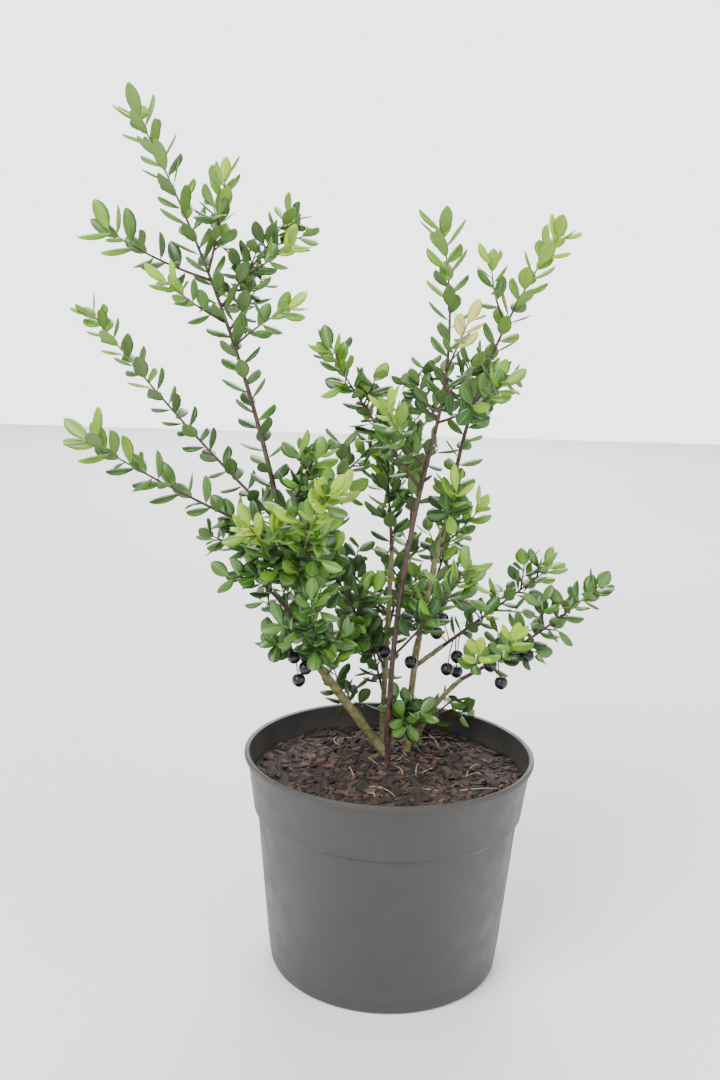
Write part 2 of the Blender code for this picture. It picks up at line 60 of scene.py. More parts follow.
forward = Vector((0, math.cos(LOOKS_DOWN), -math.sin(LOOKS_DOWN)))
level = Vector((1, 0, 0))
above = Vector((0, math.sin(LOOKS_DOWN), math.cos(LOOKS_DOWN)))
right = level * math.cos(LEANS) + above * math.sin(LEANS)
upright = above * math.cos(LEANS) - level * math.sin(LEANS)
camera.matrix_world = Matrix.LocRotScale(
    CAMERA_PLACE, Matrix((right, upright, -forward)).transposed(), None
)
bpy.context.scene.camera = camera


# Pot: a thin injection-moulded nursery pot, with a stepped collar that nests in the next
# pot of a stack, a rolled lip and drain holes through its floor. Its grey plastic is matte
# and lightly scuffed.
MM = 0.001
POT_SIDES = 96
# Radius and height, from the edge of the underside, over the lip and down the inside
POT_PROFILE = [
    (66.1, 0.0),
    (67.2, 0.4),
    (67.8, 1.6),
    (68.4, 6.0),
    (69.1, 12.8),
    (69.4, 13.3),
    (76.8, 92.6),
    (77.2, 94.2),
    (78.2, 95.1),
    (79.1, 95.8),
    (83.0, 124.9),
    (83.5, 125.5),
    (84.7, 125.8),
    (85.0, 126.3),
    (84.8, 127.0),
    (85.0, 127.6),
    (84.9, 128.3),
    (84.3, 128.8),
    (83.0, 128.7),
    (82.2, 128.2),
    (81.7, 125.8),
    (77.6, 96.0),
    (75.5, 94.0),
    (66.1, 2.0),
]
SMOOTH_UNDER = math.radians(40)
DRAIN_HOLES = 8
DRAIN_SIDES = 20
DRAIN_RADIUS = 4.5
DRAIN_DEPTH = 8
DRAIN_CIRCLE = 50.0
PATCH_DETAIL = 5
PATCH_CONTRAST = (0.32, 0.68)
GRAIN_DETAIL = 3
COAT_ROUGHNESS = 0.25
RELIEF_STRENGTH = 0.6


def weathering():
    """Two tones in soft patches and a fine grain, which every finish here is mixed from."""
    group = bpy.data.node_groups.new("weathering", "ShaderNodeTree")
    for name in ("Deep", "Pale"):
        group.interface.new_socket(name, in_out="INPUT", socket_type="NodeSocketColor")
    for name in ("Patches", "Grain"):
        group.interface.new_socket(name, in_out="INPUT", socket_type="NodeSocketFloat")
    group.interface.new_socket("Colour", in_out="OUTPUT", socket_type="NodeSocketColor")
    for name in ("Wear", "Relief"):
        group.interface.new_socket(name, in_out="OUTPUT", socket_type="NodeSocketFloat")
    nodes, links = group.nodes, group.links
    given = nodes.new("NodeGroupInput")
    made = nodes.new("NodeGroupOutput")
    place = nodes.new("ShaderNodeTexCoord")
    patches = nodes.new("ShaderNodeTexNoise")
    patches.inputs["Detail"].default_value = PATCH_DETAIL
    grain = nodes.new("ShaderNodeTexNoise")
    grain.inputs["Detail"].default_value = GRAIN_DETAIL
    contrast = nodes.new("ShaderNodeMapRange")
    contrast.inputs["From Min"].default_value = PATCH_CONTRAST[0]
    contrast.inputs["From Max"].default_value = PATCH_CONTRAST[1]
    tones = nodes.new("ShaderNodeMix")
    tones.data_type = "RGBA"
    for texture, size in ((patches, "Patches"), (grain, "Grain")):
        links.new(place.outputs["Object"], texture.inputs["Vector"])
        links.new(given.outputs[size], texture.inputs["Scale"])
    links.new(patches.outputs["Fac"], contrast.inputs["Value"])
    links.new(contrast.outputs["Result"], tones.inputs["Factor"])
    links.new(given.outputs["Deep"], tones.inputs["A"])
    links.new(given.outputs["Pale"], tones.inputs["B"])
    links.new(tones.outputs["Result"], made.inputs["Colour"])
    links.new(contrast.outputs["Result"], made.inputs["Wear"])
    links.new(grain.outputs["Fac"], made.inputs["Relief"])
    return group


WEATHERING = weathering()


def finish(name, deep, pale, patches, grain, relief, rough, coat=0.0):
    """A material of two tones.

    Patches and grain say how many there are to a metre, relief is the grain's height in
    millimetres, and the roughness runs from the first to the second of rough.
    """
    material = bpy.data.materials.new(name)
    material.use_nodes = True
    nodes, links = material.node_tree.nodes, material.node_tree.links
    shader = nodes["Principled BSDF"]
    shader.inputs["Coat Weight"].default_value = coat
    shader.inputs["Coat Roughness"].default_value = COAT_ROUGHNESS
    worn = nodes.new("ShaderNodeGroup")
    worn.node_tree = WEATHERING
    worn.inputs["Deep"].default_value = (*deep, 1)
    worn.inputs["Pale"].default_value = (*pale, 1)
    worn.inputs["Patches"].default_value = patches
    worn.inputs["Grain"].default_value = grain
    gloss = nodes.new("ShaderNodeMapRange")
    gloss.inputs["To Min"].default_value = rough[0]
    gloss.inputs["To Max"].default_value = rough[1]
    bump = nodes.new("ShaderNodeBump")
    bump.inputs["Strength"].default_value = RELIEF_STRENGTH
    bump.inputs["Distance"].default_value = relief * MM
    links.new(worn.outputs["Colour"], shader.inputs["Base Color"])
    links.new(worn.outputs["Wear"], gloss.inputs["Value"])
    links.new(gloss.outputs["Result"], shader.inputs["Roughness"])
    links.new(worn.outputs["Relief"], bump.inputs["Height"])
    links.new(bump.outputs["Normal"], shader.inputs["Normal"])
    return material


def turned(name, profile, sides):
    """A round piece pulled up from a disc, ring by ring, through its profile."""
    bpy.ops.object.select_all(action="DESELECT")
    radius, height = profile[0]
    bpy.ops.mesh.primitive_circle_add(
        vertices=sides, radius=radius * MM, fill_type="NGON", location=(0, 0, height * MM)
    )
    piece = bpy.context.object
    piece.name = name
    bpy.ops.object.transform_apply()
    bpy.ops.object.mode_set(mode="EDIT")
    bpy.ops.mesh.select_all(action="SELECT")
    for next_radius, next_height in profile[1:]:
        rise = {"value": (0, 0, (next_height - height) * MM)}
        bpy.ops.mesh.extrude_region_move(TRANSFORM_OT_translate=rise)
        share = next_radius / radius
        middle = (0, 0, next_height * MM)
        bpy.ops.transform.resize(value=(share, share, 1), center_override=middle)
        radius, height = next_radius, next_height
    return piece


def closed_outwards():
    """Ends edit mode with every face of the piece pointing out."""
    bpy.ops.mesh.select_all(action="SELECT")
    bpy.ops.mesh.normals_make_consistent(inside=False)
    bpy.ops.object.mode_set(mode="OBJECT")


pot = turned("nursery_pot", POT_PROFILE, POT_SIDES)
closed_outwards()
bpy.ops.object.select_all(action="DESELECT")
for k in range(DRAIN_HOLES):
    angle = math.tau * (k + 0.5) / DRAIN_HOLES
    place = Vector((math.cos(angle), math.sin(angle), 0)) * DRAIN_CIRCLE * MM
    bpy.ops.mesh.primitive_cylinder_add(
        vertices=DRAIN_SIDES, radius=DRAIN_RADIUS * MM, depth=DRAIN_DEPTH * MM, location=place
    )
    punch = bpy.context.object
    holes = pot.modifiers.new("drain", "BOOLEAN")
    holes.object = punch
    bpy.context.view_layer.objects.active = pot
    bpy.ops.object.modifier_apply(modifier=holes.name)
    bpy.data.objects.remove(punch, do_unlink=True)
bpy.ops.object.select_all(action="DESELECT")
pot.select_set(True)
bpy.context.view_layer.objects.active = pot
bpy.ops.object.shade_smooth_by_angle(angle=SMOOTH_UNDER)
pot_plastic = finish(
    "pot_plastic",
    deep=(0.033, 0.03, 0.028),
    pale=(0.043, 0.039, 0.036),
    patches=75,
    grain=1400,
    relief=0.08,
    rough=(0.42, 0.58),
)
pot.data.materials.append(pot_plastic)
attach(pot, "root")
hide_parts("pot")


# Compost: moist peat and composted bark, filled by hand to a thumb under the rim, and
# settled unevenly by watering.
COMPOST_LEVEL = 114.0
COMPOST_RADIUS = 79.8
COMPOST_PROFILE = [
    (65.4, 2.4),
    (75.0, 94.3),
    (77.0, 96.2),
    (COMPOST_RADIUS, COMPOST_LEVEL - 0.6),
]
COMPOST_SIDES = 72
COMPOST_RINGS = 34
COMPOST_TOP = COMPOST_LEVEL - 1
LUMP_WIDTH = 26
LUMP_HEIGHT = 1.6
CRUMB_WIDTH = 6
CRUMB_HEIGHT = 1.1


def compost_height(right_mm, back_mm):
    """The height of the compost's top at a place, in millimetres."""
    lumps = noise.noise(Vector((right_mm, back_mm, 3.0)) / LUMP_WIDTH) * LUMP_HEIGHT
    crumbs = noise.noise(Vector((right_mm, back_mm, 9.0)) / CRUMB_WIDTH) * CRUMB_HEIGHT
    return COMPOST_LEVEL + lumps + crumbs


compost = turned("compost_fill", COMPOST_PROFILE, COMPOST_SIDES)
for _ in range(COMPOST_RINGS):
    bpy.ops.mesh.inset(thickness=COMPOST_RADIUS / (COMPOST_RINGS + 1) * MM)
closed_outwards()
for vert in compost.data.vertices:
    if vert.co.z > COMPOST_TOP * MM:
        vert.co.z = compost_height(vert.co.x / MM, vert.co.y / MM) * MM
for face in compost.data.polygons:
    face.use_smooth = True
moist_compost = finish(
    "compost",
    deep=(0.009, 0.006, 0.005),
    pale=(0.035, 0.022, 0.017),
    patches=160,
    grain=900,
    relief=1.4,
    rough=(0.85, 1.0),
)
compost.data.materials.append(moist_compost)
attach(compost, "root")
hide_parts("compost")


# Chips of bark: what is left of the compost's coarse bark on top of it, dark where moist
# and reddish where the bark has split.

# Each tone: how many chips, their deep tone and their pale tone
CHIPS = {
    "dark": (640, (0.012, 0.008, 0.007), (0.034, 0.021, 0.017)),
    "brown": (430, (0.034, 0.019, 0.014), (0.078, 0.044, 0.032)),
    "red": (110, (0.075, 0.034, 0.022), (0.14, 0.07, 0.045)),
}
# Half of a chip's length, width and thickness, each from least to most
CHIP_HALVES = ((1.5, 5.4), (0.9, 2.4), (0.4, 1.0))
CHIP_BROKEN = (0.6, 1.1)
CHIP_TILT = 0.3
CHIP_LIFT = 0.3
CHIPS_REACH = COMPOST_RADIUS - 3
CORNERS = [(x, y, z) for z in (-1, 1) for y in (-1, 1) for x in (-1, 1)]
SIDES = [(0, 2, 3, 1), (4, 5, 7, 6), (0, 1, 5, 4), (2, 6, 7, 3), (0, 4, 6, 2), (1, 3, 7, 5)]


def joined(name, points, faces, materials, slots=None, smooth=True):
    """One piece from points in millimetres, with a material slot for each face."""
    mesh = bpy.data.meshes.new(name)
    mesh.from_pydata([tuple(point * MM) for point in points], [], faces)
    for material in materials:
        mesh.materials.append(material)
    if slots:
        mesh.polygons.foreach_set("material_index", slots)
    mesh.polygons.foreach_set("use_smooth", [smooth] * len(faces))
    mesh.update()
    piece = bpy.data.objects.new(name, mesh)
    bpy.context.scene.collection.objects.link(piece)
    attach(piece, "root")
    return piece


dice = random.Random("chips")
for tone, (count, deep, pale) in CHIPS.items():
    points, faces = [], []
    for _ in range(count):
        angle = dice.uniform(0, math.tau)
        out = CHIPS_REACH * math.sqrt(dice.random())
        x, y = out * math.cos(angle), out * math.sin(angle)
        half = Vector([dice.uniform(*span) for span in CHIP_HALVES])
        turn = Matrix.Rotation(dice.uniform(0, math.tau), 3, "Z")
        turn = turn @ Matrix.Rotation(dice.gauss(0, CHIP_TILT), 3, "X")
        turn = turn @ Matrix.Rotation(dice.gauss(0, CHIP_TILT), 3, "Y")
        middle = Vector((x, y, compost_height(x, y) + CHIP_LIFT))
        shift = len(points)
        for corner in CORNERS:
            rough = Vector([c * h * dice.uniform(*CHIP_BROKEN) for c, h in zip(corner, half)])
            points.append(middle + turn @ rough)
        faces += [tuple(k + shift for k in side) for side in SIDES]
    bark = finish(
        f"bark_chip_{tone}", deep, pale, patches=260, grain=1500, relief=0.4, rough=(0.75, 0.95)
    )
    chips = joined(f"bark_chips_{tone}", points, faces, [bark], smooth=False)


# Stems and boughs: green wood, one to three years old. Old bark is olive with raised pores,
# young bark is purple-brown and smooth, and each has a faint ring where a leaf once sat.

# Where each stem stands on the compost
STEM_FEET = {
    "stem_left": (2, 24),
    "stem_middle": (0, 12),
    "stem_back": (-4, 34),
    "stem_right": (12, 30),
    "stem_low_right": (15, 39),
}
STEM_BASE = COMPOST_LEVEL - 3
# Each limb: its parent and the share along it, its tip, its bow, its two radii and its bark
LIMBS = {
    "stem_left": ("", 0, (-50, 10, 184), (0, 0, 0), (2.9, 2.5), "olive"),
    "stem_middle": ("", 0, (20, 6, 315), (-7, -5, 1), (1.8, 1.3), "brown"),
    "stem_back": ("", 0, (-1, 42, 240), (0, 0, 0), (1.9, 1.4), "olive"),
    "stem_right": ("", 0, (32, 32, 266), (-5, 0, 0), (2.1, 1.6), "olive"),
    "stem_low_right": ("", 0, (43, 18, 167), (-4, 0, 2), (1.8, 1.4), "olive"),
    "bough_upper_left": ("stem_left", 1, (-68, 0, 272), (1, 0, 0), (2.3, 1.7), "brown"),
    "bough_lower_left": (
        "bough_upper_left", 0.1, (-67, -8, 220), (1, 0, 0), (1.5, 1.2), "brown"
    ),
    "bough_right": ("stem_right", 0.38, (32, 30, 184), (0, 0, 0), (1.5, 1.3), "olive"),
}
LIMB_SIDES = 20
LIMB_STEP = 1.3
RIDGES_ROUND = 2.2
RIDGES_ALONG = 0.28
RIDGE_DRIFT = 0.05
RIDGE_HEIGHT = 0.13
PORES_FINER = 2.6
PORES_FROM = 0.34
PORE_HEIGHT = 0.9
SCAR_STEP = 13.0
SCAR_WIDTH = 0.9
SCAR_HEIGHT = 0.16
FLARE = 0.9
FLARE_HEIGHT = 3.0


class Path:
    """A bowed line from foot to tip with a radius that tapers along it, in millimetres."""

    def __init__(self, foot, tip, bow, radii):
        self.foot = Vector(foot)
        self.tip = Vector(tip)
        self.bow = Vector(bow)
        self.radii = radii

    def point(self, t):
        return self.foot.lerp(self.tip, t) + self.bow * (4 * t * (1 - t))

    def heading(self, t):
        return (self.tip - self.foot + self.bow * (4 - 8 * t)).normalized()

    def length(self):
        return (self.tip - self.foot).length

    def radius(self, t):
        return self.radii[0] + (self.radii[1] - self.radii[0]) * t


def tube(path, sides, step, relief):
    """A closed tube along a path. Its skin stands out by relief(place, angle, distance)."""
    count = max(2, round(path.length() / step)) + 1
    sideways = path.heading(0).orthogonal().normalized()
    points = []
    for k in range(count):
        t = k / (count - 1)
        heading = path.heading(t)
        sideways = (sideways - heading * sideways.dot(heading)).normalized()
        other = heading.cross(sideways)
        centre = path.point(t)
        for j in range(sides):
            angle = math.tau * j / sides
            out = sideways * math.cos(angle) + other * math.sin(angle)
            bark = relief(centre, angle, t * path.length())
            points.append(centre + out * (path.radius(t) + bark))
    faces = [tuple(reversed(range(sides)))]
    for k in range(count - 1):
        for j in range(sides):
            low, beside = k * sides + j, k * sides + (j + 1) % sides
            faces.append((low, beside, beside + sides, low + sides))
    faces.append(tuple(range(len(points) - sides, len(points))))
    return points, faces


def bark_relief(centre, angle, along):
    """Ridges, pores and leaf scars of a limb."""
    on_bark = Vector(
        (math.cos(angle) * RIDGES_ROUND, math.sin(angle) * RIDGES_ROUND, along * RIDGES_ALONG)
    )
    ridges = noise.noise(on_bark + centre * RIDGE_DRIFT) * RIDGE_HEIGHT
    pores = max(0.0, noise.noise(on_bark * PORES_FINER) - PORES_FROM) * PORE_HEIGHT
    from_scar = along % SCAR_STEP - SCAR_STEP / 2
    scar = math.exp(-((from_scar / SCAR_WIDTH) ** 2)) * SCAR_HEIGHT
    return ridges + pores + scar


def rooted_relief(centre, angle, along):
    """The bark of a stem that swells where it enters the compost."""
    return bark_relief(centre, angle, along) + FLARE * math.exp(-along / FLARE_HEIGHT)


BARKS = {
    "olive": finish(
        "olive_bark",
        deep=(0.11, 0.105, 0.035),
        pale=(0.27, 0.25, 0.11),
        patches=300,
        grain=1500,
        relief=0.25,
        rough=(0.5, 0.75),
    ),
    "brown": finish(
        "brown_bark",
        deep=(0.035, 0.017, 0.015),
        pale=(0.105, 0.058, 0.044),
        patches=300,
        grain=1500,
        relief=0.2,
        rough=(0.45, 0.7),
    ),
}
limbs = {}
for name, (parent, at, tip, bow, radii, bark) in LIMBS.items():
    if parent:
        foot, relief = limbs[parent].point(at), bark_relief
    else:
        foot, relief = (*STEM_FEET[name], STEM_BASE), rooted_relief
    limbs[name] = Path(foot, tip, bow, radii)
    points, faces = tube(limbs[name], LIMB_SIDES, LIMB_STEP, relief)
    limb = joined(f"{name}_bark", points, faces, [BARKS[bark]])
    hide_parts(name)


# Root threads: fine pale feeding roots of the plant, which watering has washed bare and
# left lying on the compost.
ROOT_THREADS = 26
ROOT_PLACES = (8, 66)
ROOT_REACH = (9, 24)
ROOTS_WITHIN = COMPOST_RADIUS - 4
ROOT_LIFT = 0.7
ROOT_BOW = 4
ROOT_ARCH = 0.8
ROOT_RADII = (0.35, 0.2)
ROOT_SIDES = 5
ROOT_STEP = 2.5


def even_skin(centre, angle, along):
    """The skin of a thread that is too thin to show any relief."""
    return 0.0


def gathered(tubes):
    """The points and faces of several tubes, as one mesh."""
    points, faces = [], []
    for more, their_faces in tubes:
        faces += [tuple(k + len(points) for k in face) for face in their_faces]
        points += more
    return points, faces


dice = random.Random("roots")
tubes = []
for _ in range(ROOT_THREADS):
    angle = dice.uniform(0, math.tau)
    out = dice.uniform(*ROOT_PLACES)
    x, y = out * math.cos(angle), out * math.sin(angle)
    turn = dice.uniform(0, math.tau)
    reach = dice.uniform(*ROOT_REACH)
    far_x, far_y = x + reach * math.cos(turn), y + reach * math.sin(turn)
    if math.hypot(far_x, far_y) > ROOTS_WITHIN:
        continue
    foot = Vector((x, y, compost_height(x, y) + ROOT_LIFT))
    tip = Vector((far_x, far_y, compost_height(far_x, far_y) + ROOT_LIFT))
    bow = (dice.uniform(-ROOT_BOW, ROOT_BOW), dice.uniform(-ROOT_BOW, ROOT_BOW), ROOT_ARCH)
    tubes.append(tube(Path(foot, tip, bow, ROOT_RADII), ROOT_SIDES, ROOT_STEP, even_skin))
root_thread = finish(
    "root_thread",
    deep=(0.3, 0.2, 0.12),
    pale=(0.48, 0.36, 0.24),
    patches=300,
    grain=900,
    relief=0.1,
    rough=(0.8, 0.9),
)
threads = joined("root_threads", *gathered(tubes), [root_thread])


# Twigs: this and last year's growth, which springs from the limbs shoot by shoot and
# branches once more. The bark is thin, brown below and green towards the tips.

# Each shoot: its parent, the share along it, its tip, its bow, its radius, its kind of leaf,
# the share that is bare, and the number, length and phase of its side twigs
SHOOTS = {
    "top_left": {
        "leader": ("bough_upper_left", 1, (-151, 25, 485), (7, 0, 3), 1.6, "long", 0.03),
        "leader_left": ("leader", 0.57, (-157, -25, 418), (-1, 1, -2), 0.9, "long", 0.2),
        "leader_low": ("leader", 0.46, (-125, -30, 392), (-1, 0, -1), 0.8, "fresh", 0.2),
        "leader_up": ("leader", 0.59, (-99, 0, 449), (1, 0, 0), 0.9, "fresh", 0.15, 1),
        "leader_back": ("leader", 0.5, (-66, 45, 437), (0, 0, 0), 0.9, "mid", 0.1, 2),
        "leader_right": ("leader_back", 0.3, (-63, 0, 415), (0, 0, 0), 0.8, "fresh", 0.1),
        "leader_mid": ("leader", 0.44, (-82, 40, 399), (0, 0, 0), 0.8, "mid", 0.1, 1),
        "leader_front": ("leader", 0.4, (-61, -30, 381), (-1, 0, 1), 0.8, "fresh", 0.2),
    },
    "high_left": {
        "high_left": ("bough_upper_left", 0.86, (-181, 35, 377), (-2, 0, -2), 1.1, "mid", 0.06)
    },
    "low_left": {
        "low_left": ("bough_upper_left", 0.76, (-162, -55, 311), (-2, 1, -2), 1.1, "long", 0.1)
    },
    "small_left": {
        "small_left": ("bough_upper_left", 0.6, (-105, -10, 255), (0, 0, 0), 0.9, "old", 0.15, 2)
    },
    "front_left": {
        "front_left": ("bough_upper_left", 0.42, (-78, -55, 268), (-1, 1, 0), 1.0, "fresh", 0.15, 2)
    },
    "front_middle": {
        "front_middle": (
            "bough_upper_left", 0.3, (-37, -75, 289), (-5, 1, 3), 1.2, "fresh", 0.15, 4, 20, 25
        )
    },
    "inner": {
        "inner": ("bough_upper_left", 0.72, (-8, 40, 309), (-3, 0, 2), 1.1, "mid", 0.12, 4, 20)
    },
    "inner_front": {
        "inner_front": (
            "bough_upper_left", 0.92, (-44, -20, 303), (0, 0, -2), 0.9, "mid", 0.12, 3, 16
        )
    },
    "behind_left": {
        "behind_left": ("bough_upper_left", 0.5, (-80, 78, 262), (0, 0, -4), 1.1, "mid", 0.15, 4)
    },
    "behind_low": {
        "behind_low": ("stem_left", 0.88, (-72, 68, 215), (0, 0, -4), 1.0, "old", 0.2, 4)
    },
    "lower_left": {
        "lower_left": ("bough_lower_left", 1, (-80, -20, 238), (-1, 0, 0), 1.0, "old", 0.05, 3, 18)
    },
    "lower_front": {
        "lower_front": ("stem_left", 0.84, (-46, -48, 228), (0, 0, -4), 1.0, "old", 0.2, 4)
    },
    "berry_left": {
        "berry_left": ("stem_left", 0.97, (-71, -15, 200), (-1, 0, -2), 0.8, "old", 0.3, 1, 14)
    },
    "front_low": {
        "front_low": ("stem_left", 0.78, (-31, -20, 191), (1, 0, 0), 0.8, "fresh", 0.45)
    },
    "foot_left": {
        "foot_left": ("stem_left", 0.5, (-30, 45, 150), (0, 0, -3), 0.9, "old", 0.2, 2)
    },
    "centre": {
        "centre": ("stem_back", 0.43, (-47, -30, 264), (-1, 1, 1), 1.0, "mid", 0.1, 4, 20)
    },
    "centre_low": {
        "centre_low": ("stem_back", 0.5, (-32, 10, 196), (-1, 0, -1), 0.8, "old", 0.2, 2, 16)
    },
    "centre_back": {
        "centre_back": ("stem_back", 0.69, (-45, 60, 248), (-1, 0, -1), 0.9, "old", 0.1, 3, 18)
    },
    "behind_middle": {
        "behind_middle": ("stem_back", 0.6, (10, 92, 238), (0, 0, -4), 1.1, "mid", 0.15, 4)
    },
    "behind_foot": {
        "behind_foot": ("stem_back", 0.3, (-14, 72, 188), (0, 0, -3), 1.0, "old", 0.15, 4)
    },
    "back_stem": {
        "back_stem": ("stem_back", 1, (-6, 50, 296), (0, 0, 0), 1.2, "long", 0.04, 2, 18)
    },
    "middle_left": {
        "middle_left": ("stem_middle", 0.84, (-40, -35, 360), (-1, 1, 0), 1.1, "mid", 0.1, 2, 16)
    },
    "middle_front": {
        "middle_front": ("stem_middle", 0.9, (-9, -50, 331), (-2, 0, 0), 0.9, "fresh", 0.15)
    },
    "middle_back": {
        "middle_back": ("stem_middle", 0.7, (12, 85, 318), (0, 0, -6), 1.1, "mid", 0.3, 3)
    },
    "top_middle": {
        "top_middle": ("stem_middle", 1, (20, 10, 426), (6, 0, 1), 1.2, "long", 0.04),
        "top_middle_back": ("top_middle", 0.05, (5, 45, 342), (2, 0, 1), 0.8, "old", 0.15, 2, 16),
        "top_middle_right": (
            "top_middle", 0.05, (52, -40, 345), (2, 0, -2), 0.9, "mid", 0.15, 1, 16
        ),
        "top_middle_yellow": ("top_middle", 0.3, (34, -20, 377), (0, 0, 0), 0.7, "fresh", 0.3),
        "top_middle_far": ("top_middle", 0.16, (49, 50, 355), (-1, 0, 0), 0.8, "mid", 0.15, 2, 16),
    },
    "top_right": {
        "top_right": ("stem_right", 1, (89, 35, 428), (-10, 0, 4), 1.5, "round", 0.04),
        "top_right_left": ("top_right", 0.66, (48, 10, 409), (-2, 0, 0), 0.8, "fresh", 0.25),
        "top_right_back": ("top_right", 0.4, (62, 88, 350), (0, 0, -4), 1.0, "old", 0.15, 2, 18),
    },
    "right_front": {
        "right_front": ("stem_right", 0.9, (33, -5, 283), (0, 0, 0), 0.8, "fresh", 0.2, 1, 16)
    },
    "right_side": {
        "right_side": ("stem_right", 0.86, (48, 10, 272), (1, 0, -1), 0.8, "fresh", 0.25)
    },
    "right_back": {
        "right_back": ("stem_right", 0.62, (38, 88, 246), (0, 0, -4), 1.1, "mid", 0.2, 4)
    },
    "right_inner": {
        "right_inner": ("stem_right", 0.5, (12, 10, 222), (0, 0, 0), 0.8, "old", 0.1, 2, 16)
    },
    "right_low": {
        "right_low": ("stem_middle", 0.35, (40, -20, 242), (1, 0, -1), 0.9, "mid", 0.2, 2, 16)
    },
    "right_foot": {
        "right_foot": ("stem_right", 0.16, (8, 4, 146), (0, 0, 0), 0.8, "old", 0.2, 2, 16)
    },
    "far_foot": {
        "far_foot": ("stem_low_right", 0.3, (40, 52, 142), (0, 0, 0), 0.8, "old", 0.15, 2, 16)
    },
    "right": {"right": ("bough_right", 1, (97, 45, 231), (0, 0, 0), 1.2, "mid", 0.08, 3, 18)},
    "far_right": {
        "far_right": ("stem_low_right", 1, (115, -15, 234), (2, 0, -2), 1.3, "old", 0.08, 4, 18),
        "far_right_front": ("far_right", 0.06, (48, -20, 193), (1, 0, 0), 0.8, "fresh", 0.3),
        "far_right_low": ("far_right", 0.24, (66, -30, 205), (1, 0, -1), 0.8, "fresh", 0.3),
    },
}
# The turn from one leaf or side twig to the next, which plants keep to
TURN = math.radians(137.5)
LEAST_LEVEL = 0.3
TWIG_SIDES = 7
TWIG_STEP = 3.0
TWIG_TIP_RADIUS = 0.35
TWIG_ROUGHNESS = 0.4
TWIG_RELIEF = 0.08
SIDE_TWIG_RADIUS = 0.65
# The number, length and phase of the side twigs of a shoot that doesn't give them
SIDE_TWIGS = (0, 22.0, 0)
SIDE_TWIG_LEAN = 0.75
SIDE_TWIG_LIFT = Vector((0, 0, 0.25))
SIDE_TWIG_VARIES = (0.8, 1.15)
SIDE_TWIG_BARE = 0.12
FIRST_TWIG = 0.5
TWIGS_SHORT_OF_TIP = 0.6
FIRST_TWIG_TURN = 1.1
SPUR_LENGTH = 9.0
SPUR_VARIES = (0.7, 1.3)
SPUR_BARE = 0.2
SPUR_EVERY = 15.0
FIRST_SPUR = 0.3
SPUR_TURN = 2.4
FRESH_FROM = 0.62
GREEN_FROM = 0.75
FRESH_GREEN_FROM = 0.45


def around(heading, turn):
    """The direction square to a shoot that a turn about it gives."""
    level = heading.cross(Vector((0, 1, 0)))
    if level.length < LEAST_LEVEL:
        level = heading.cross(Vector((1, 0, 0)))
    level.normalize()
    return level * math.cos(turn) + level.cross(heading) * math.sin(turn)


def side_twig(path, t, turn, length):
    """A straight twig that leaves a shoot sideways and lifts towards the light."""
    heading = path.heading(t)
    lead = (heading * SIDE_TWIG_LEAN + around(heading, turn) + SIDE_TWIG_LIFT).normalized()
    start = path.point(t)
    return Path(start, start + lead * length, (0, 0, 0), (SIDE_TWIG_RADIUS, TWIG_TIP_RADIUS))


def aged(leaf, t):
    """The kind of leaf on a side twig: only the end of a fresh shoot is fresh all over."""
    return "mid" if leaf == "fresh" and t < FRESH_FROM else leaf


def twig_relief(centre, angle, along):
    """The uneven skin of a thin twig."""
    return noise.noise(centre * TWIG_ROUGHNESS + Vector((angle, 0, along))) * TWIG_RELIEF


paths = dict(limbs)
# Each leafy stretch: its shoot, its path, its kind of leaf, its bare share and its phase
leafy = []
for mass, shoots in SHOOTS.items():
    dice = random.Random(f"foliage_{mass}")
    for name, (parent, at, tip, bow, radius, leaf, bare, *side) in shoots.items():
        paths[name] = Path(paths[parent].point(at), tip, bow, (radius, TWIG_TIP_RADIUS))
        leafy.append((name, paths[name], leaf, bare, 0.0))
    for name, (parent, at, tip, bow, radius, leaf, bare, *side) in shoots.items():
        count, length, phase = (*side, *SIDE_TWIGS[len(side) :])
        path = paths[name]
        for k in range(count):
            t = bare + (1 - bare) * (k + FIRST_TWIG) / (count + TWIGS_SHORT_OF_TIP)
            turn = math.radians(phase) + FIRST_TWIG_TURN + k * TURN
            twig = side_twig(path, t, turn, length * dice.uniform(*SIDE_TWIG_VARIES))
            turned_by = dice.uniform(0, math.tau)
            leafy.append((name, twig, aged(leaf, t), SIDE_TWIG_BARE, turned_by))
        spurs = round(path.length() * (1 - bare) / SPUR_EVERY) if count else 0
        for k in range(spurs):
            t = bare + (1 - bare) * (k + FIRST_SPUR) / spurs
            reach = SPUR_LENGTH * dice.uniform(*SPUR_VARIES)
            twig = side_twig(path, t, SPUR_TURN + k * TURN, reach)
            turned_by = dice.uniform(0, math.tau)
            leafy.append((name, twig, aged(leaf, t), SPUR_BARE, turned_by))
tubes = []
slots = []
for _, path, leaf, _, _ in leafy:
    twig_points, twig_faces = tube(path, TWIG_SIDES, TWIG_STEP, twig_relief)
    green_from = FRESH_GREEN_FROM if leaf == "fresh" else GREEN_FROM
    tubes.append((twig_points, twig_faces))
    slots += [int(k > len(twig_faces) * green_from) for k in range(len(twig_faces))]
green_twig = finish(
    "green_twig",
    deep=(0.1, 0.14, 0.035),
    pale=(0.2, 0.25, 0.07),
    patches=300,
    grain=900,
    relief=0.1,
    rough=(0.45, 0.65),
)
twigs = joined("twigs", *gathered(tubes), [BARKS["brown"], green_twig], slots)
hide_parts(*[f"foliage_{mass}" for mass in SHOOTS])


# Leaves: small, leathery and evergreen, cupped with their edges turned down, on short
# stalks one after the other round the twig. They are glossy and dark when old, and open
# lime green at the tips of the year's shoots.

